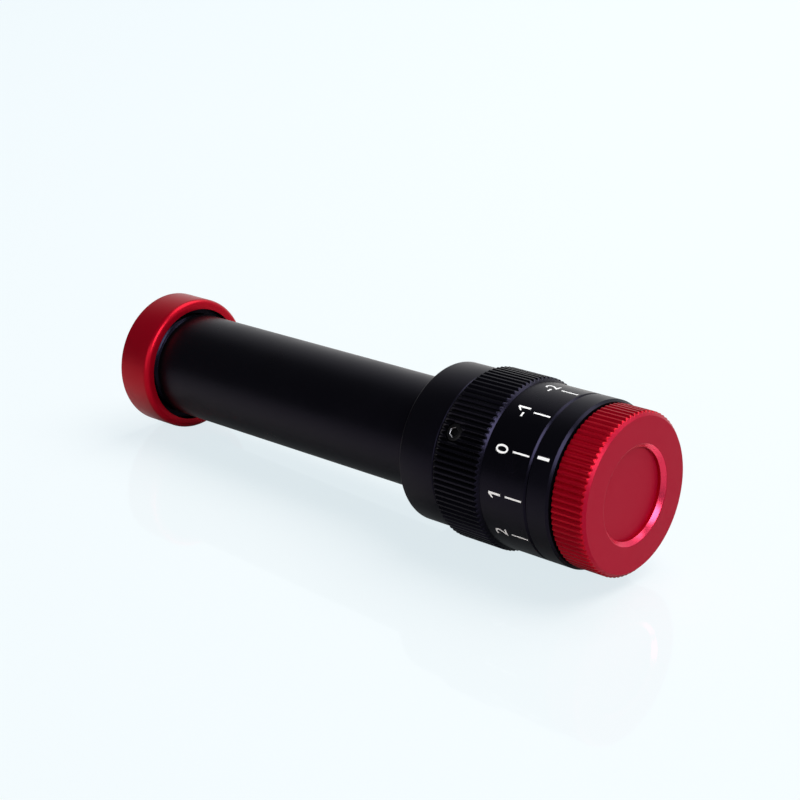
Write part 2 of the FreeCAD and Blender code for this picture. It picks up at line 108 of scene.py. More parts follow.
def new_material(name):
    """An empty material, its node tree and its output node."""
    material = bpy.data.materials.new(name)
    material.use_nodes = True
    tree = material.node_tree
    tree.nodes.clear()
    return material, tree, tree.nodes.new("ShaderNodeOutputMaterial")


def turning_marks(tree, pitch_mm, strength):
    """The fine rings that a lathe tool leaves round the axis, as a bump."""
    where = add_node(tree, "ShaderNodeTexCoord")
    scale = (1 / (pitch_mm * MM), TURNING_STRETCH, TURNING_STRETCH)
    squeezed = add_node(tree, "ShaderNodeMapping", {"Scale": scale},
                        {"Vector": where.outputs["Object"]})
    lines = add_node(tree, "ShaderNodeTexNoise", {"Scale": 1.0, "Detail": 2.0, "Roughness": 0.6},
                     {"Vector": squeezed.outputs["Vector"]})
    return add_node(tree, "ShaderNodeBump",
                    {"Strength": strength, "Distance": BUMP_DEPTH_MM * MM},
                    {"Height": lines.outputs["Fac"]})


def blast_grain(tree, grain_mm, strength):
    """The even grain of a bead-blasted surface under an anodised layer, as a bump."""
    where = add_node(tree, "ShaderNodeTexCoord")
    grain = add_node(tree, "ShaderNodeTexNoise", {"Scale": 1 / (grain_mm * MM), "Detail": 3.0},
                     {"Vector": where.outputs["Object"]})
    return add_node(tree, "ShaderNodeBump",
                    {"Strength": strength, "Distance": BUMP_DEPTH_MM * MM},
                    {"Height": grain.outputs["Fac"]})


def uneven_sheen(tree, roughness):
    """A roughness that wanders a little over some millimetres, as handling leaves it."""
    where = add_node(tree, "ShaderNodeTexCoord")
    patches = add_node(tree, "ShaderNodeTexNoise",
                       {"Scale": 1 / (SHEEN_PATCH_MM * MM), "Detail": 4.0, "Roughness": 0.55},
                       {"Vector": where.outputs["Object"]})
    return add_node(tree, "ShaderNodeMapRange",
                    {"From Min": 0.3, "From Max": 0.7, "To Min": roughness - SHEEN_SWING,
                     "To Max": roughness + SHEEN_SWING}, {"Value": patches.outputs["Fac"]})


def black_anodised(name, colour, roughness, bump_strength):
    """Black anodised aluminium: the dyed oxide hides the metal and its sealed skin gives a satin
    reflection with the dye's violet cast, weak from above and bright only at a low angle."""
    material, tree, output = new_material(name)
    bump = turning_marks(tree, TURNING_PITCH_MM, bump_strength)
    sheen = uneven_sheen(tree, roughness)
    shader = add_node(tree, "ShaderNodeBsdfPrincipled",
                      {"Base Color": linear(colour), "Metallic": 0.0, "IOR": 1.45,
                       "Specular IOR Level": 0.22, "Specular Tint": linear(DYE_SHEEN)},
                      {"Normal": bump.outputs["Normal"], "Roughness": sheen.outputs["Result"]})
    tree.links.new(shader.outputs["BSDF"], output.inputs["Surface"])
    return material


def red_anodised(name, colour, metallic, specular, roughness, bump):
    """Red anodised aluminium: light goes into the dyed oxide and comes back deep red, and the
    metal below gives a lit edge its pink glow."""
    material, tree, output = new_material(name)
    texture = bump(tree)
    sheen = uneven_sheen(tree, roughness)
    shader = add_node(tree, "ShaderNodeBsdfPrincipled",
                      {"Base Color": linear(colour), "Metallic": metallic,
                       "Specular IOR Level": specular},
                      {"Normal": texture.outputs["Normal"], "Roughness": sheen.outputs["Result"]})
    tree.links.new(shader.outputs["BSDF"], output.inputs["Surface"])
    return material


def plain_material(name, colour, **settings):
    """A material with one even finish and a faint grain."""
    material, tree, output = new_material(name)
    grain = blast_grain(tree, PLAIN_GRAIN_MM, 0.05)
    sockets = {key.replace("_", " "): value for key, value in settings.items()}
    shader = add_node(tree, "ShaderNodeBsdfPrincipled", {"Base Color": linear(colour), **sockets},
                      {"Normal": grain.outputs["Normal"]})
    tree.links.new(shader.outputs["BSDF"], output.inputs["Surface"])
    return material


# The tube, collar and housing: nearly black from the front, grey with a violet cast at their
# outline
BLACK_SATIN = black_anodised("black_anodised_aluminium", "#040405", 0.30, 0.10)
# The knurled ring: its cut teeth are smoother, so their edges give small sharp lights
BLACK_KNURL = black_anodised("black_anodised_knurl", "#030304", 0.26, 0.04)
# Inner pieces: a rough matt black, so that they give no stray reflections. It also paints shade
# inside the rear cap's mouth
MATT_BLACK_AND_SHADE = black_anodised("matt_black_anodised_and_painted_shade", "#050505", 0.55, 0.10)
# The caps' turned sides: deep red, pink along a lit chamfer
RED_SIDE = red_anodised("red_anodised_turned_aluminium", "#A4021C", 0.60, 0.15, 0.32,
                        lambda tree: turning_marks(tree, TURNING_PITCH_MM, 0.12))
# The front cap's end: blasted, so paler and more even than its side
RED_FACE = red_anodised("red_anodised_blasted_aluminium", "#980828", 0.36, 0.10, 0.40,
                        lambda tree: blast_grain(tree, BLAST_GRAIN_MM, 0.10))
# The slope round the front cap's recess: a lighter, shinier pink-red than the face, painted
# highlight for a bright pink-red crescent
RED_PAINTED_HIGHLIGHT = red_anodised("red_anodised_painted_highlight", "#E0385A", 0.80, 0.30, 0.26,
                        lambda tree: turning_marks(tree, TURNING_PITCH_MM, 0.06))
# Paint rubbed into the engraved marks: flat white
WHITE_PAINT = plain_material("white_engraving_paint", "#F4F4F4", Roughness=0.55)
# The drive screw: blackened steel, dark grey with a dull shine
BLACK_STEEL = plain_material("black_oxide_steel", "#0C0C0E", Metallic=0.6, Roughness=0.38)
# Its socket's mouth: bare steel where the key has rubbed the black away
WORN_STEEL = plain_material("worn_steel", "#7C7C80", Metallic=1.0, Roughness=0.35)
# The thin washers beside the ring: a dull black plastic
WASHER_ACETAL = plain_material("black_acetal", "#121212", Roughness=0.45)
# The lenses: clear glass with a weak cool tint from its coating
LENS_GLASS = plain_material("coated_lens_glass", "#E4F0F0", Roughness=0.02, IOR=1.52,
                            Transmission_Weight=1.0)


def mesh_piece(name, vertices, faces, material, body, replaces=()):
    """A piece from points in millimetres, shaded smooth up to its sharp edges."""
    mesh = bpy.data.meshes.new(name)
    mesh.from_pydata([[c * MM for c in v] for v in vertices], [], faces)
    return finish_piece(name, mesh, material, body, replaces)


def finish_piece(name, mesh, material, body, replaces=()):
    """Shading, material and body of a mesh that is already in metres, hiding the CAD parts that it
    replaces.
    """
    mesh.validate()
    mesh.shade_smooth()
    mesh.set_sharp_from_angle(angle=math.radians(SHARP_DEG))
    mesh.materials.clear()
    mesh.materials.append(material)
    piece = bpy.data.objects.new(name, mesh)
    bpy.context.scene.collection.objects.link(piece)
    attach(piece, body)
    if replaces:
        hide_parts(*replaces)
    return piece


def broken_edges(outline, radius=EDGE_BREAK):
    """A closed outline of (x, r) points with each corner rounded by a small arc."""
    rounded = []
    count = len(outline)
    straight = 0.999
    for i in range(count):
        before, here, after = (Vector(outline[(i + k) % count]) for k in (-1, 0, 1))
        to_before, to_after = before - here, after - here
        cut = min(radius, to_before.length * EDGE_SHARE, to_after.length * EDGE_SHARE)
        start = here + to_before.normalized() * cut
        end = here + to_after.normalized() * cut
        bend = abs(to_before.normalized().dot(to_after.normalized()))
        if here.y < TINY or bend > straight:
            rounded.append(here)
            continue
        for step in range(EDGE_STEPS + 1):
            t = step / EDGE_STEPS
            rounded.append(start.lerp(here, t).lerp(here.lerp(end, t), t))
    return [(p.x, p.y) for p in rounded]


def lathe(outline, steps=TURN_STEPS):
    """Vertices and faces of a closed (x, r) outline turned about the axis."""
    vertices, faces, rows = [], [], []
    for x, r in outline:
        if r < TINY:
            rows.append([len(vertices)] * steps)
            vertices.append((x, 0, 0))
            continue
        row = []
        for k in range(steps):
            angle = 2 * math.pi * k / steps
            row.append(len(vertices))
            vertices.append((x, r * math.cos(angle), r * math.sin(angle)))
        rows.append(row)
    for a, b in zip(rows, rows[1:] + rows[:1]):
        if len(set(a)) == 1 and len(set(b)) == 1:
            continue
        for k in range(steps):
            n = (k + 1) % steps
            corners = []
            for index in (a[k], a[n], b[n], b[k]):
                if index not in corners:
                    corners.append(index)
            faces.append(corners)
    return vertices, faces


def turned_piece(name, outline, material, body, replaces=()):
    """A turned piece from its outline, with its edges broken."""
    vertices, faces = lathe(broken_edges(outline))
    return mesh_piece(name, vertices, faces, material, body, replaces)


# Camera, as the photograph was taken: fitted to the round edges of the caps, ring and tube
CAMERA_AT = (379.8, -314.9, 157.2)      # millimetres
CAMERA_AZIMUTH = 43.06
CAMERA_ELEVATION = 19.26
CAMERA_ROLL = 1.07
CAMERA_LENS = 82.86
CAMERA_SENSOR = 36.0
CAMERA_NEAR = 0.01          # metres
CAMERA_FAR = 20.0


def make_camera():
    """The camera, turned by azimuth and elevation and then rolled about its own axis."""
    azimuth, elevation = math.radians(CAMERA_AZIMUTH), math.radians(CAMERA_ELEVATION)
    level = math.cos(elevation)
    back = Vector((math.sin(azimuth) * level, -math.cos(azimuth) * level, math.sin(elevation)))
    data = bpy.data.cameras.new("camera")
    data.lens = CAMERA_LENS
    data.sensor_width = CAMERA_SENSOR
    data.clip_start = CAMERA_NEAR
    data.clip_end = CAMERA_FAR
    camera = bpy.data.objects.new("camera", data)
    turn = (-back).to_track_quat("-Z", "Y").to_matrix().to_4x4()
    roll = Matrix.Rotation(math.radians(-CAMERA_ROLL), 4, "Z")
    camera.matrix_world = Matrix.Translation(Vector(CAMERA_AT) * MM) @ turn @ roll
    bpy.context.scene.collection.objects.link(camera)
    bpy.context.scene.camera = camera


# White table top
FLOOR_REACH = 4.0           # metres each way
FLOOR_WHITE = 1.13          # strength of the white that the camera sees on the floor
FLOOR_GLOW = 0.73           # share of that white where the camera looks at the floor
MIRRORED_GLOW = 0.10        # its share where a gloss surface mirrors the floor


def background_rays(tree):
    """The ray's path, and one for a ray that should meet the white background in full: straight
    from the camera or through glass."""
    path = add_node(tree, "ShaderNodeLightPath")
    seen = add_node(tree, "ShaderNodeMath", {"operation": "MAXIMUM"},
                    {0: path.outputs["Is Camera Ray"], 1: path.outputs["Is Transmission Ray"]})
    return path, seen


def make_floor():
    """A white gloss table top that the shaper lies on: it tilts to touch the rear cap's back edge
    and the knurl's back edge."""
    rise = (KNURL_R - REAR_R) / (RING_BACK - REAR_BACK)
    middle_x = (RING_BACK + REAR_BACK) / 2 * MM
    middle_z = -(KNURL_R + REAR_R) / 2 * MM
    mesh = bpy.data.meshes.new("floor")
    corners = [(-1, -1), (1, -1), (1, 1), (-1, 1)]
    mesh.from_pydata([(x * FLOOR_REACH, y * FLOOR_REACH, 0) for x, y in corners], [],
                     [(0, 1, 2, 3)])
    floor = bpy.data.objects.new("floor", mesh)
    floor.rotation_euler = Euler((0, math.atan(rise), 0))
    floor.location = (middle_x, 0, middle_z)
    # White gloss laminate: a warm flat white with a clear skin that mirrors the shaper faintly,
    # under a cool white that fills its shadow
    material, tree, output = new_material("white_gloss_laminate")
    shader = add_node(tree, "ShaderNodeBsdfPrincipled",
                      {"Base Color": linear("#FFF4EC"), "Roughness": 0.6, "Specular IOR Level": 0.0,
                       "Coat Weight": 1.0, "Coat Roughness": 0.03, "Coat IOR": 1.8})
    glow = add_node(tree, "ShaderNodeEmission",
                    {"Color": linear("#EEFAFF"), "Strength": FLOOR_WHITE})
    path, seen = background_rays(tree)
    direct = add_node(tree, "ShaderNodeMath", {"operation": "MULTIPLY", 1: FLOOR_GLOW},
                      {0: seen.outputs["Value"]})
    mirrored = add_node(tree, "ShaderNodeMath", {"operation": "MULTIPLY", 1: MIRRORED_GLOW},
                        {0: path.outputs["Is Glossy Ray"]})
    share = add_node(tree, "ShaderNodeMath", {"operation": "MAXIMUM"},
                     {0: direct.outputs["Value"], 1: mirrored.outputs["Value"]})
    mix = add_node(tree, "ShaderNodeMixShader", {},
                   {"Fac": share.outputs["Value"], 1: shader.outputs["BSDF"],
                    2: glow.outputs["Emission"]})
    tree.links.new(mix.outputs["Shader"], output.inputs["Surface"])
    mesh.materials.append(material)
    bpy.context.scene.collection.objects.link(floor)
    return floor


def make_lamp(name, towards, distance, width, height, watts):
    """A soft box that looks at the middle of the shaper, itself out of the camera's sight. Its
    distance and size are in metres."""
    data = bpy.data.lights.new(name, "AREA")
    data.shape = "RECTANGLE"
    data.size = width
    data.size_y = height
    data.energy = watts
    lamp = bpy.data.objects.new(name, data)
    middle = Vector(((CAP_FACE + REAR_BACK) / 2 * MM, 0, 0))
    lamp.location = middle + Vector(towards).normalized() * distance
    lamp.rotation_euler = (middle - lamp.location).to_track_quat("-Z", "Y").to_euler()
    lamp.visible_camera = False
    bpy.context.scene.collection.objects.link(lamp)
    return lamp


def spare_the_floor(lamps, floor):
    """Keeps lamps off the floor, so that its gloss doesn't mirror their outlines."""
    spared = bpy.data.collections.new("spared_floor")
    spared.objects.link(floor)
    spared.collection_objects[0].light_linking.link_state = "EXCLUDE"
    for lamp in lamps:
        lamp.light_linking.receiver_collection = spared


# Lamps and surroundings
SURROUND_LEVEL = 0.10       # of the dim room in front and overhead
BACKGROUND_FALL = 1.1       # how fast the white background fades towards the front and overhead


def make_lights(floor):
    """A soft box beyond the front cap, which lights every edge that faces it, wide ones on the
    near side and overhead, and a white background behind in a dim room."""
    front = make_lamp("front_softbox", towards=(0.81, -0.28, 0.52), distance=1.0, width=0.5,
                      height=0.5, watts=8.0)
    side = make_lamp("side_fill", towards=(0.2, -0.95, 0.25), distance=1.2, width=1.2,
                     height=0.8, watts=5.5)
    make_lamp("top_softbox", towards=(0.20, 0.42, 0.88), distance=2.4, width=2.4, height=2.0,
              watts=60.0)
    spare_the_floor((front, side), floor)
    world = bpy.data.worlds.new("white_background_in_dim_room")
    world.use_nodes = True
    tree = world.node_tree
    tree.nodes.clear()
    output = tree.nodes.new("ShaderNodeOutputWorld")
    where = add_node(tree, "ShaderNodeTexCoord")
    apart = add_node(tree, "ShaderNodeSeparateXYZ", {}, {"Vector": where.outputs["Generated"]})
    behind = add_node(tree, "ShaderNodeMath", {"operation": "MAXIMUM", 1: 0.0},
                      {0: apart.outputs["Y"]})
    fade = add_node(tree, "ShaderNodeMath", {"operation": "POWER", 1: BACKGROUND_FALL},
                    {0: behind.outputs["Value"]})
    path, seen = background_rays(tree)
    mirrored = add_node(tree, "ShaderNodeMath", {"operation": "MULTIPLY"},
                        {0: path.outputs["Is Glossy Ray"], 1: fade.outputs["Value"]})
    share = add_node(tree, "ShaderNodeMath", {"operation": "MAXIMUM"},
                     {0: seen.outputs["Value"], 1: mirrored.outputs["Value"]})
    room = add_node(tree, "ShaderNodeBackground",
                    {"Color": linear("#F0F2FA"), "Strength": SURROUND_LEVEL})
    white = add_node(tree, "ShaderNodeBackground", {"Color": linear("#FFFFFF"), "Strength": 1.0})
    mix = add_node(tree, "ShaderNodeMixShader", {},
                   {"Fac": share.outputs["Value"], 1: room.outputs["Background"],
                    2: white.outputs["Background"]})
    tree.links.new(mix.outputs["Shader"], output.inputs["Surface"])
    bpy.context.scene.world = world


# Threads: a 60 degree form, drawn as a helix of triangles between crest and root
THREAD_PITCH = 1.0
THREAD_DEPTH = 0.6
THREAD_FLAT = 0.1           # share of half a pitch that the crest takes, and the root too
THREAD_ROWS_PER_PITCH = 8
THREAD_LEAD_IN = 0.6
THREAD_RUN_OUT = 0.05
ROW_BY_EDGE = 0.2           # rows this close to an edge keep the shading beside it even
ROW_BY_SHOULDER = 0.3
SMALL_CHAMFER = 0.3


def thread_radius(x, angle, crest_r):
    """The radius of a right-hand thread at one place on its pitch."""
    share = (x / THREAD_PITCH - angle / (2 * math.pi)) % 1.0
    rise = abs(share * 2 - 1)
    flank = (rise - THREAD_FLAT) / (1 - 2 * THREAD_FLAT)
    return crest_r - THREAD_DEPTH * min(1.0, max(0.0, flank))


def lead_in(from_end, root_r, crest_r):
    """The most that a thread's radius may be this close to an end, where it runs out."""
    share = min(1.0, max(0.0, from_end) / THREAD_LEAD_IN)
    return root_r + share * (crest_r - root_r)


def thread_stations(start, end):
    """Stations along a thread, close enough together to show its form."""
    return stations_between(start, end, THREAD_PITCH / THREAD_ROWS_PER_PITCH)


def grid_piece(stations, radius_of, closing, angles):
    """Vertices and faces of an outer skin r = radius_of(x, angle) that is closed through the
    stations (x, r) in closing, from the last station back to the first."""
    vertices, faces = [], []
    rows = [[(x, radius_of(x, a)) for a in angles] for x in stations]
    rows += [[(x, r)] * len(angles) for x, r in closing]
    for row in rows:
        for (x, r), a in zip(row, angles):
            vertices.append((x, r * math.cos(a), r * math.sin(a)))
    count = len(angles)
    for i in range(len(rows)):
        j = (i + 1) % len(rows)
        for k in range(count):
            n = (k + 1) % count
            faces.append((i * count + k, i * count + n, j * count + n, j * count + k))
    return vertices, faces


def even_angles(count):
    """Angles all round in equal steps."""
    return [2 * math.pi * k / count for k in range(count)]


def stations_between(start, end, step):
    """Stations from start to end in equal steps, none longer than step."""
    count = max(1, math.ceil((end - start) / step))
    return [start + (end - start) * k / count for k in range(count + 1)]


# Tube
INPUT_THREAD_R = 13.5
INPUT_THREAD_END = 8.0
INPUT_RELIEF_R = 12.9
TUBE_SHOULDER = 9.5
TUBE_BORE_R = 12.0
SPIGOT_R = 13.5


def make_tube():
    """The long tube with a real helical thread on its input end and a spigot in the head."""

    def radius_of(x, angle):
        from_end = min(x - TUBE_BACK, INPUT_THREAD_END - x)
        limit = lead_in(from_end, INPUT_RELIEF_R, INPUT_THREAD_R)
        return min(limit, thread_radius(x, angle, INPUT_THREAD_R))

    thread = thread_stations(TUBE_BACK, INPUT_THREAD_END)
    break_x, break_r = TUBE_SHOULDER + EDGE_BREAK, TUBE_R - EDGE_BREAK
    closing = [(INPUT_THREAD_END + THREAD_RUN_OUT, INPUT_RELIEF_R),
               (TUBE_SHOULDER, INPUT_RELIEF_R), (TUBE_SHOULDER, break_r), (break_x, TUBE_R),
               (break_x + ROW_BY_SHOULDER, TUBE_R), (HEAD_BACK - ROW_BY_SHOULDER, TUBE_R),
               (HEAD_BACK, TUBE_R), (HEAD_BACK, SPIGOT_R), (TUBE_END - SMALL_CHAMFER, SPIGOT_R),
               (TUBE_END, SPIGOT_R - SMALL_CHAMFER), (TUBE_END, TUBE_BORE_R),
               (TUBE_BACK + SMALL_CHAMFER, TUBE_BORE_R), (TUBE_BACK, TUBE_BORE_R + SMALL_CHAMFER)]
    vertices, faces = grid_piece(thread, radius_of, closing, even_angles(TURN_STEPS))
    mesh_piece("main_tube_turned", vertices, faces, BLACK_SATIN, "housing",
               ["main_tube"])


# Drive screw, and the slot and hole that it needs
SCREW_X = RING_BACK + 4.3
SCREW_TOP_R = KNURL_R - 0.35
SCREW_SEAT_R = SCREW_TOP_R - 1.6
SCREW_HEAD_R = 2.1
SCREW_HEAD_GAP = 0.15
SCREW_R = 1.5
SCREW_STEPS = 64
SCREW_DOG_R = 1.0
SCREW_DOG_CHAMFER = 0.15
SCREW_SHANK_GAP = 0.15      # from the ring's bore up to the foot of the threaded shank
SCREW_SOCKET_R = 2.0 / math.sqrt(3)     # to the corners of its 2 mm hexagon
SCREW_SOCKET_DEPTH = 1.2
SCREW_SOCKET_FLARE = 0.1
SCREW_EDGE = 0.22
SCREW_EDGE_BOW = 0.3        # how far the head's edge bows out of a plain chamfer, as a share
SCREW_WORN_RIM = 0.3        # the wear stops this far inside the head's edge
SCREW_WORN_FACING = (0.3, 0.97)         # how far the worn mouth's faces look outwards
SLOT_HALF_DEG = 64.5        # the ring's travel, the dog's half width and a margin
SLOT_HALF_WIDTH = SCREW_DOG_R + 0.3
SLOT_STEPS = 48
KEYWAY_DEPTH = 1.55         # in the lens cell
DOG_TIP_R = LENS_CELL_R - KEYWAY_DEPTH + 0.3
FIT = 0.05
CUT_PAST = 1.0              # how far a cutter reaches past the wall that it cuts


def cut_away(piece_mesh, cutter_mesh):
    """The mesh with the cutter's volume taken out."""
    body = bpy.data.objects.new("work_body", piece_mesh)
    cutter = bpy.data.objects.new("work_cutter", cutter_mesh)
    for work in (body, cutter):
        bpy.context.scene.collection.objects.link(work)
    modifier = body.modifiers.new("cut", "BOOLEAN")
    modifier.operation = "DIFFERENCE"
    modifier.solver = "EXACT"
    modifier.object = cutter
    graph = bpy.context.evaluated_depsgraph_get()
    result = bpy.data.meshes.new_from_object(body.evaluated_get(graph))
    bpy.data.objects.remove(body)
    bpy.data.objects.remove(cutter)
    return result


def metre_mesh(name, vertices, faces):
    """A mesh in metres from points in millimetres."""
    mesh = bpy.data.meshes.new(name)
    mesh.from_pydata([[c * MM for c in v] for v in vertices], [], faces)
    return mesh


def stood_on_radius(vertices):
    """Points turned about X at the origin, stood up along the drive screw's radius: their x
    becomes the radius."""
    upright = Matrix.Rotation(math.radians(-90), 4, "Y")
    turn = Matrix.Rotation(math.radians(INDEX_ANGLE - 90), 4, "X") @ upright
    return [turn @ Vector(v) + Vector((SCREW_X, 0, 0)) for v in vertices]


def stud(name, outline, steps):
    """A closed mesh from (radius of the ring, radius of the stud) points, at the drive screw."""
    vertices, faces = lathe(outline, steps)
    return metre_mesh(name, stood_on_radius(vertices), faces)


# Head body
COLLAR_FRONT = HEAD_BACK + 10.9
COLLAR_BACK_CHAMFER = 0.5
COLLAR_FRONT_CHAMFER = 0.3
COLLAR_EDGE = 0.2           # radius of the collar's softened edges
WEB_GAP = 0.1               # between the tube's end and the web that it stops at
WEB_THICKNESS = 1.5
SLEEVE_R = 17.5
SLEEVE_BORE_R = 15.5


def arc_slot():
    """The space that the drive screw's dog sweeps through the sleeve."""
    inner_r, outer_r = SLEEVE_BORE_R - CUT_PAST, SLEEVE_R + CUT_PAST
    back, front = SCREW_X - SLOT_HALF_WIDTH, SCREW_X + SLOT_HALF_WIDTH
    corners = ((back, inner_r), (front, inner_r), (front, outer_r), (back, outer_r))
    vertices, faces = [], []
    for k in range(SLOT_STEPS + 1):
        angle = math.radians(INDEX_ANGLE + SLOT_HALF_DEG * (2 * k / SLOT_STEPS - 1))
        vertices += [(x, r * math.cos(angle), r * math.sin(angle)) for x, r in corners]
    for k in range(SLOT_STEPS):
        for i in range(4):
            j = (i + 1) % 4
            faces.append((4 * k + i, 4 * k + j, 4 * k + 4 + j, 4 * k + 4 + i))
    faces += [(3, 2, 1, 0), tuple(4 * SLOT_STEPS + i for i in range(4))]
    return metre_mesh("arc_slot", vertices, faces)


def make_head_body():
    """The collar behind the ring and the sleeve that the ring turns on, with its arc slot."""
    web_back = TUBE_END + WEB_GAP
    web_front = web_back + WEB_THICKNESS
    outline = [(HEAD_BACK, SPIGOT_R + FIT), (HEAD_BACK, COLLAR_R - COLLAR_BACK_CHAMFER),
               (HEAD_BACK + COLLAR_BACK_CHAMFER, COLLAR_R),
               (COLLAR_FRONT - COLLAR_FRONT_CHAMFER, COLLAR_R),
               (COLLAR_FRONT, COLLAR_R - COLLAR_FRONT_CHAMFER),
               (COLLAR_FRONT, SLEEVE_R), (SLEEVE_END, SLEEVE_R), (SLEEVE_END, SLEEVE_BORE_R),
               (web_front, SLEEVE_BORE_R), (web_front, TUBE_BORE_R), (web_back, TUBE_BORE_R),
               (web_back, SPIGOT_R + FIT)]
    vertices, faces = lathe(broken_edges(outline, COLLAR_EDGE))
    blank = metre_mesh("head_blank", vertices, faces)
    finish_piece("head_body_turned", cut_away(blank, arc_slot()), BLACK_SATIN, "housing",
                 ["head_body"])


# Adjusting ring
RING_BORE_R = SLEEVE_R + FIT
BAND_WALL = 2.5
BAND_R = RING_BORE_R + BAND_WALL
KNURL_FRONT = RING_BACK + 14.05
KNURL_TEETH = 90
KNURL_DEPTH = 0.55
KNURL_CHAMFER = 0.9
KNURL_ROW = 2.0             # longest step between rows along the knurl
CREST_SHARE = 0.28          # of a tooth's pitch
BAND_CHAMFER = 0.5
BAND_STEP = 0.001           # along the axis, from the knurl's foot down to the band
CHAMFER_STEP = 0.09
KNURL_SKIN = 0.1            # how far the screw hole's cutter stands out of the knurl


def knurl_radius(angle, crest_r, depth, teeth):
    """The radius of a straight knurl with flat crests and V grooves."""
    share = abs(((angle * teeth / (2 * math.pi)) + 0.5) % 1.0 - 0.5) * 2
    slope = min(1.0, max(0.0, (share - CREST_SHARE) / (1 - CREST_SHARE)))
    return crest_r - depth * slope


def knurl_angles(teeth):
    """Angles that catch each tooth's crest edges, flanks and groove."""
    half = CREST_SHARE / 2
    shares = (-half, half, half + (0.5 - half) * 0.5, 0.5, 1 - half - (0.5 - half) * 0.5)
    return [2 * math.pi * (tooth + share) / teeth for tooth in range(teeth) for share in shares]


def make_adjusting_ring():
    """The knurl and the scale band in one piece, counterbored for the drive screw's head."""
    start = math.radians(INDEX_ANGLE)
    angles = [start + a for a in knurl_angles(KNURL_TEETH)]

    def radius_of(x, angle):
        if x > KNURL_FRONT:
            return min(BAND_R, BAND_R - BAND_CHAMFER + RING_FRONT - x)
        from_edge = min(x - RING_BACK, KNURL_FRONT - x)
        cone = KNURL_R - KNURL_CHAMFER + max(0.0, from_edge)
        return min(cone, knurl_radius(angle - start, KNURL_R, KNURL_DEPTH, KNURL_TEETH))

    chamfer_rows = stations_between(0, KNURL_CHAMFER, CHAMFER_STEP)
    stations = [RING_BACK + step for step in chamfer_rows]
    stations += stations_between(RING_BACK + KNURL_CHAMFER, KNURL_FRONT - KNURL_CHAMFER,
                                 KNURL_ROW)[1:-1]
    stations += [KNURL_FRONT - step for step in reversed(chamfer_rows)]
    stations += [KNURL_FRONT + BAND_STEP, KNURL_FRONT + ROW_BY_EDGE,
                 RING_FRONT - BAND_CHAMFER - ROW_BY_EDGE, RING_FRONT - BAND_CHAMFER, RING_FRONT]
    closing = [(RING_FRONT, BAND_R - BAND_CHAMFER - ROW_BY_EDGE), (RING_FRONT, RING_BORE_R),
               (RING_BACK, RING_BORE_R), (RING_BACK, KNURL_R - KNURL_CHAMFER - ROW_BY_EDGE)]
    vertices, faces = grid_piece(stations, radius_of, closing, angles)
    blank = metre_mesh("ring_blank", vertices, faces)
    bore_r, hole_r = SCREW_HEAD_R + SCREW_HEAD_GAP, SCREW_R + FIT
    inner_r, outer_r = RING_BORE_R - CUT_PAST, KNURL_R + KNURL_SKIN
    outline = [(inner_r, 0), (inner_r, hole_r), (SCREW_SEAT_R, hole_r), (SCREW_SEAT_R, bore_r),
               (outer_r, bore_r), (outer_r, 0)]
    hole = stud("screw_hole", outline, SCREW_STEPS)
    finish_piece("adjusting_ring_knurled", cut_away(blank, hole), BLACK_KNURL, "ring",
                 ["adjusting_ring"])


def make_drive_screw():
    """The socket head screw that turns the lens cell, its socket's mouth worn bright."""
    shank_end = RING_BORE_R + SCREW_SHANK_GAP
    bow = SCREW_EDGE * SCREW_EDGE_BOW
    outline = [(DOG_TIP_R, 0), (DOG_TIP_R, SCREW_DOG_R - SCREW_DOG_CHAMFER),
               (DOG_TIP_R + SCREW_DOG_CHAMFER, SCREW_DOG_R), (shank_end, SCREW_DOG_R),
               (shank_end, SCREW_R), (SCREW_SEAT_R, SCREW_R), (SCREW_SEAT_R, SCREW_HEAD_R),
               (SCREW_TOP_R - SCREW_EDGE, SCREW_HEAD_R), (SCREW_TOP_R - bow, SCREW_HEAD_R - bow),
               (SCREW_TOP_R, SCREW_HEAD_R - SCREW_EDGE), (SCREW_TOP_R, 0)]
    blank = stud("screw_blank", outline, SCREW_STEPS)
    socket_floor = SCREW_TOP_R - SCREW_SOCKET_DEPTH
    flare_back, flare_top = SCREW_TOP_R - SCREW_SOCKET_FLARE, SCREW_TOP_R + SCREW_SOCKET_FLARE
    hexagon = [(socket_floor, 0), (socket_floor, SCREW_SOCKET_R), (flare_back, SCREW_SOCKET_R),
               (flare_top, SCREW_SOCKET_R + 2 * SCREW_SOCKET_FLARE), (flare_top, 0)]
    screw = finish_piece("drive_screw_turned", cut_away(blank, stud("socket", hexagon, 6)),
                         BLACK_STEEL, "ring", ["drive_screw"])
    screw.data.materials.append(WORN_STEEL)
    angle = math.radians(INDEX_ANGLE)
    outwards = Vector((0, math.cos(angle), math.sin(angle)))
    foot = Vector((SCREW_X * MM, 0, 0))
    least, most = SCREW_WORN_FACING
    for polygon in screw.data.polygons:
        height = polygon.center.dot(outwards)
        from_axis = (polygon.center - outwards * height - foot).length
        sloped = least < polygon.normal.dot(outwards) < most
        if sloped and from_axis < (SCREW_HEAD_R - SCREW_WORN_RIM) * MM:
            polygon.material_index = 1


# Output housing
INDEX_FRONT = HOUSING_BACK + 5.9
INDEX_CHAMFER = 0.55
INDEX_BACK_CHAMFER = 0.1
NECK_R = 17.5
NECK_RELIEF_R = 16.8
NECK_RELIEF_LENGTH = 1.0
OUTPUT_BORE_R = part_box("output_lens_outer")[1].z / MM + 0.5
HOUSING_WEB = HOUSING_BACK + 4.15


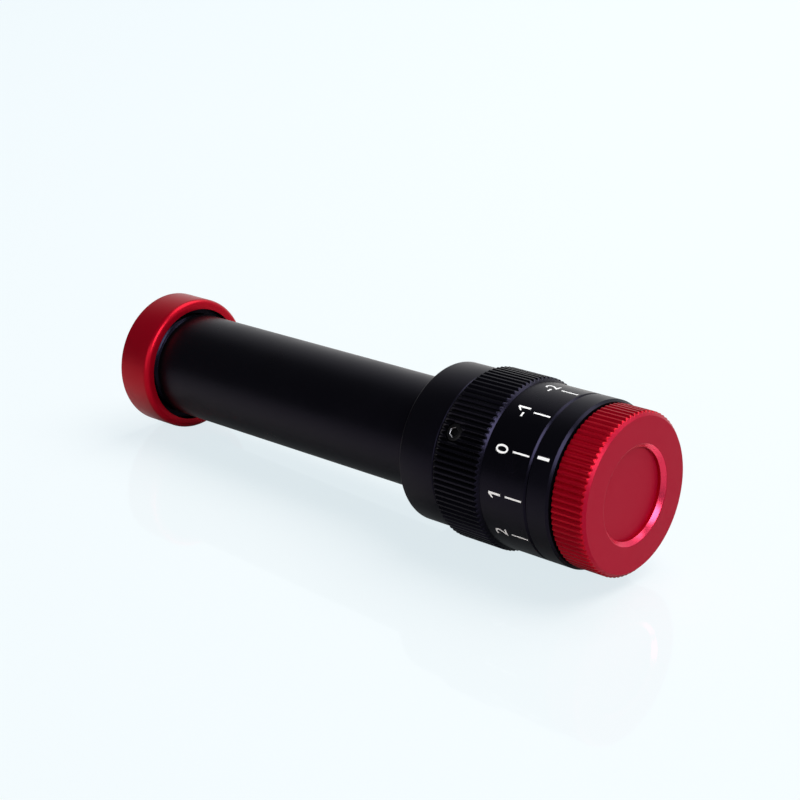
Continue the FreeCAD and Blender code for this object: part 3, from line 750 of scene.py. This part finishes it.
def make_output_housing():
    """The index ring and the neck, with a real helical thread on the neck."""
    thread_back = INDEX_FRONT + NECK_RELIEF_LENGTH

    def radius_of(x, angle):
        from_end = min(x - thread_back, NECK_END - x)
        limit = lead_in(from_end, NECK_RELIEF_R, NECK_R)
        return min(limit, thread_radius(x, angle, NECK_R))

    chamfer_x, chamfer_r = INDEX_FRONT - INDEX_CHAMFER, INDEX_R - INDEX_CHAMFER
    bore = [(NECK_END, OUTPUT_BORE_R + SMALL_CHAMFER), (NECK_END - SMALL_CHAMFER, OUTPUT_BORE_R),
            (HOUSING_WEB, OUTPUT_BORE_R), (HOUSING_WEB, SLEEVE_R + FIT)]
    index_ring = [(HOUSING_BACK, SLEEVE_R + FIT), (HOUSING_BACK, INDEX_R - INDEX_BACK_CHAMFER),
                  (HOUSING_BACK + INDEX_BACK_CHAMFER, INDEX_R),
                  (HOUSING_BACK + ROW_BY_SHOULDER, INDEX_R), (chamfer_x - ROW_BY_EDGE, INDEX_R),
                  (chamfer_x, INDEX_R), (INDEX_FRONT, chamfer_r),
                  (INDEX_FRONT, chamfer_r - ROW_BY_EDGE)]
    relief = [(INDEX_FRONT, NECK_RELIEF_R + THREAD_RUN_OUT),
              (INDEX_FRONT + THREAD_RUN_OUT, NECK_RELIEF_R),
              (thread_back - THREAD_RUN_OUT, NECK_RELIEF_R)]
    vertices, faces = grid_piece(thread_stations(thread_back, NECK_END), radius_of,
                                 bore + index_ring + relief, even_angles(TURN_STEPS))
    mesh_piece("output_housing_turned", vertices, faces, BLACK_SATIN, "housing",
               ["output_housing"])


# Caps
CAP_TEETH = 80
CAP_KNURL_DEPTH = 0.5
CAP_CHAMFER = 1.0
CAP_LIT_EDGE = 0.35         # outer part of the chamfer, turned bright after the blasting
CAP_BACK_CHAMFER = 0.15
CAP_SLOPE, CAP_FLAT = 0.6, 0.9          # how far a chamfer and the face look along the axis
CAP_BORE_R = NECK_R + 0.3
CAP_INNER = NECK_END + 0.3
CAP_RECESS_R = 12.0         # at the face
CAP_RECESS_DEPTH = 1.85
CAP_RECESS_CHAMFER = 1.0    # broad slope from the face down to the recess's wall
CAP_RECESS_LIP = ((0.0, 0.3), (0.0, 0.08), (-0.03, -0.03), (-0.1, -0.12))     # round, as (x, r)
CAP_FACE_ROWS = (0.05, 0.6)             # how far inside the chamfer the face's first rows lie
AXIS_R = 0.01               # closes a face at the axis
REAR_MOUTH_R = TUBE_R + 1.4
REAR_MOUTH_DEPTH = 2.7
REAR_THREAD_R = INPUT_THREAD_R + 0.3
REAR_INNER = REAR_BACK + 1.7
REAR_RIM_ROUND = 1.4
REAR_RIM_STEPS = 8
REAR_BACK_CHAMFER = 0.6
REAR_MARGIN = 0.05


def make_front_cap():
    """The red cap with its straight knurl, broad chamfer and shallow turned recess."""
    angles = knurl_angles(CAP_TEETH)

    def radius_of(x, angle):
        cone_front = CAP_R - CAP_CHAMFER + (CAP_FACE - x)
        cone_back = CAP_R - CAP_BACK_CHAMFER + (x - CAP_BACK)
        return min(cone_front, cone_back, knurl_radius(angle, CAP_R, CAP_KNURL_DEPTH, CAP_TEETH))

    stations = [CAP_BACK + step for step in stations_between(0, CAP_BACK_CHAMFER, CHAMFER_STEP)]
    stations += stations_between(CAP_BACK + CAP_BACK_CHAMFER, CAP_FACE - CAP_CHAMFER,
                                 KNURL_ROW)[1:-1]
    chamfer_rows = stations_between(0, CAP_CHAMFER, CHAMFER_STEP)
    stations += [CAP_FACE - step for step in reversed(chamfer_rows)]
    face_r = CAP_R - CAP_CHAMFER
    floor_x = CAP_FACE - CAP_RECESS_DEPTH
    wall_r = CAP_RECESS_R - CAP_RECESS_CHAMFER
    closing = [(CAP_FACE, face_r - inwards) for inwards in CAP_FACE_ROWS]
    closing += [(CAP_FACE + x, CAP_RECESS_R + r) for x, r in CAP_RECESS_LIP]
    closing += [(CAP_FACE - CAP_RECESS_CHAMFER, wall_r), (floor_x, wall_r),
                (floor_x, wall_r - ROW_BY_SHOULDER), (floor_x, AXIS_R), (CAP_INNER, AXIS_R),
                (CAP_INNER, CAP_BORE_R), (CAP_BACK, CAP_BORE_R)]
    vertices, faces = grid_piece(stations, radius_of, closing, angles)
    piece = mesh_piece("front_cap_knurled", vertices, faces, RED_SIDE, "front_dust_cap",
                       ["front_cap"])
    piece.data.materials.append(RED_FACE)
    piece.data.materials.append(RED_PAINTED_HIGHLIGHT)
    for polygon in piece.data.polygons:
        radius = math.hypot(polygon.center.y, polygon.center.z) / MM
        facing = polygon.normal.x
        # The recess's slope takes the lighter red of the painted highlight, the rest of the face
        # the blasted red
        if CAP_SLOPE < facing < CAP_FLAT and radius < CAP_RECESS_R:
            polygon.material_index = 2
        elif facing > CAP_SLOPE and radius < CAP_R - CAP_LIT_EDGE:
            polygon.material_index = 1


def make_rear_cap():
    """The smooth red cap with its rounded rim and the wide mouth round the tube, painted shade
    inside.
    """
    mouth_x = REAR_RIM - REAR_MOUTH_DEPTH
    arc = []
    for step in range(REAR_RIM_STEPS + 1):
        turn = math.radians(90 * step / REAR_RIM_STEPS)
        arc.append((REAR_RIM - REAR_RIM_ROUND + REAR_RIM_ROUND * math.sin(turn),
                    REAR_R - REAR_RIM_ROUND + REAR_RIM_ROUND * math.cos(turn)))
    outline = [(REAR_BACK, AXIS_R), (REAR_BACK, REAR_R - REAR_BACK_CHAMFER),
               (REAR_BACK + REAR_BACK_CHAMFER, REAR_R)] + arc
    outline += [(REAR_RIM, REAR_MOUTH_R), (mouth_x, REAR_MOUTH_R), (mouth_x, REAR_THREAD_R),
                (REAR_INNER, REAR_THREAD_R), (REAR_INNER, AXIS_R)]
    piece = turned_piece("rear_cap_turned", outline, RED_SIDE, "rear_dust_cap",
                         ["rear_cap"])
    piece.data.materials.append(MATT_BLACK_AND_SHADE)
    # The mouth's inner wall and floor take the matt black, as painted shade
    for polygon in piece.data.polygons:
        x, radius = polygon.center.x / MM, math.hypot(polygon.center.y, polygon.center.z) / MM
        inside = REAR_INNER - REAR_MARGIN < x < REAR_RIM - EDGE_BREAK
        if inside and radius < REAR_MOUTH_R + REAR_MARGIN:
            polygon.material_index = 1


# Scale and index
SCALE_ZERO_DEG = 1.3        # how far the scale's zero stands past the index
TICK_LENGTH = 4.7
TICK_WIDTH = 0.42
TICK_FROM_GROOVE = 1.05
DIGIT_HEIGHT = 3.4
DIGIT_GAP = 1.4
DIGIT_STRIP = 0.25          # widest flat strip of a digit round the ring
DIGIT_WEIGHT = 0.002        # how far a digit's strokes are thickened, as a share of its size
ONE_STEM = 0.15             # parts of the figure one, as shares of a digit's height
ONE_FLAG_REACH = 0.24
ONE_FLAG_DROP = 0.26
ONE_WIDTH = 0.384           # of the figure in the plain face that it takes the place of
ONE_CROTCH = 1.3            # where the flag leaves the stem, in stem widths from the top
INDEX_BAR_LENGTH = 3.25
INDEX_BAR_WIDTH = 0.7
INDEX_BAR_FROM_GROOVE = 0.85
PAINT_RISE = 0.012
PAINT_SINK = 0.03


def wrapped(points_2d, faces_2d, skin_r, x_at, angle_deg):
    """A flat mark, drawn with u along the axis and v round it, laid on a cylinder as a thin
    layer. Returns vertices and faces."""
    outer, inner = [], []
    for u, v in points_2d:
        angle = math.radians(angle_deg) + v / skin_r
        for row, r in ((outer, skin_r + PAINT_RISE), (inner, skin_r - PAINT_SINK)):
            row.append((x_at + u, r * math.cos(angle), r * math.sin(angle)))
    count = len(points_2d)
    faces = [tuple(f) for f in faces_2d] + [tuple(count + i for i in reversed(f)) for f in faces_2d]
    uses = {}
    for face in faces_2d:
        for a, b in zip(face, list(face[1:]) + [face[0]]):
            uses[(a, b)] = uses.get((a, b), 0) + 1
    for a, b in uses:
        if (b, a) not in uses:
            faces.append((b, a, count + a, count + b))
    return outer + inner, faces


def bar(length, width):
    """A bar along the axis, its middle line on v = 0, as a strip of quads across its width."""
    across = 4
    points, faces = [], []
    for i in range(across + 1):
        v = width * (i / across - 0.5)
        points += [(0, v), (length, v)]
    for i in range(across):
        faces.append((2 * i, 2 * i + 2, 2 * i + 3, 2 * i + 1))
    return points, faces


def written(text):
    """Text in the built-in plain face, as a flat mesh on which a line's height is about 1."""
    curve = bpy.data.curves.new("number", "FONT")
    curve.body = text
    curve.align_x = "CENTER"
    curve.resolution_u = 6
    curve.offset = DIGIT_WEIGHT
    writer = bpy.data.objects.new("number", curve)
    bpy.context.scene.collection.objects.link(writer)
    graph = bpy.context.evaluated_depsgraph_get()
    flat = bpy.data.meshes.new_from_object(writer.evaluated_get(graph))
    bpy.data.objects.remove(writer)
    return flat


def number_shape(text):
    """A number in a plain face as a flat mesh of (u, v) points, cut into narrow strips so that
    it can follow the ring. Its top points back along the axis, and it is centred on its line.
    The figure one is drawn here, with a slanted flag and no foot."""
    shape = bmesh.new()
    shape.from_mesh(written(text))
    bmesh.ops.remove_doubles(shape, verts=shape.verts, dist=1e-5)
    low, high = (pick(v.co.y for v in shape.verts) for pick in (min, max))
    size = DIGIT_HEIGHT / (high - low)
    if text.endswith("1"):
        tall, right = high - low, max(v.co.x for v in shape.verts)
        plain_one = [v for v in shape.verts if v.co.x > right - tall * ONE_WIDTH]
        bmesh.ops.delete(shape, geom=plain_one, context="VERTS")
        stem, reach, drop = (tall * share for share in (ONE_STEM, ONE_FLAG_REACH, ONE_FLAG_DROP))
        outline = [(right - stem, low), (right, low), (right, high), (right - stem, high),
                   (right - stem - reach, high - drop), (right - stem - reach, high - drop - stem),
                   (right - stem, high - stem * ONE_CROTCH)]
        shape.faces.new([shape.verts.new((x, y, 0)) for x, y in outline])
    edges = [pick(v.co.x for v in shape.verts) for pick in (min, max)]
    for cut_x in stations_between(*edges, DIGIT_STRIP / size)[1:-1]:
        bmesh.ops.bisect_plane(shape, geom=shape.verts[:] + shape.edges[:] + shape.faces[:],
                               plane_co=(cut_x, 0, 0), plane_no=(1, 0, 0))
    bmesh.ops.triangulate(shape, faces=shape.faces)
    for face in shape.faces:
        if face.normal.z < 0:
            face.normal_flip()
    points = [(-(v.co.y - low) * size, -v.co.x * size) for v in shape.verts]
    faces = [tuple(v.index for v in f.verts) for f in shape.faces]
    shape.free()
    return points, faces


def make_marks():
    """The white ticks and numbers on the ring, and the white index bar on the housing."""
    vertices, faces = [], []

    def put(shape, x_at, angle_deg):
        more, more_faces = wrapped(*shape, BAND_R, x_at, angle_deg)
        start = len(vertices)
        vertices.extend(more)
        faces.extend(tuple(start + i for i in f) for f in more_faces)

    tick_x = RING_FRONT - TICK_FROM_GROOVE - TICK_LENGTH
    for number in SCALE_NUMBERS:
        angle = INDEX_ANGLE + SCALE_ZERO_DEG + number * DIVISION_DEG
        put(bar(TICK_LENGTH, TICK_WIDTH), tick_x, angle)
        put(number_shape(str(number)), tick_x - DIGIT_GAP, angle)
    mesh_piece("scale_marks", vertices, faces, WHITE_PAINT, "ring")
    index_vertices, index_faces = wrapped(*bar(INDEX_BAR_LENGTH, INDEX_BAR_WIDTH), INDEX_R,
                                          HOUSING_BACK + INDEX_BAR_FROM_GROOVE, INDEX_ANGLE)
    mesh_piece("index_mark", index_vertices, index_faces, WHITE_PAINT, "housing")


def dress_inner_pieces():
    """Materials for the pieces inside, which show with a cap off."""
    for node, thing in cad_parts.items():
        if thing.hide_render:
            continue
        if "lens_inner" in node or "lens_outer" in node:
            finish = LENS_GLASS
        elif node.startswith("washer"):
            finish = WASHER_ACETAL
        else:
            finish = MATT_BLACK_AND_SHADE
        thing.data.materials.clear()
        thing.data.materials.append(finish)


make_camera()
make_lights(make_floor())
make_tube()
make_head_body()
make_adjusting_ring()
make_drive_screw()
make_output_housing()
make_front_cap()
make_rear_cap()
make_marks()
dress_inner_pieces()

bpy.context.scene.view_settings.view_transform = "Standard"
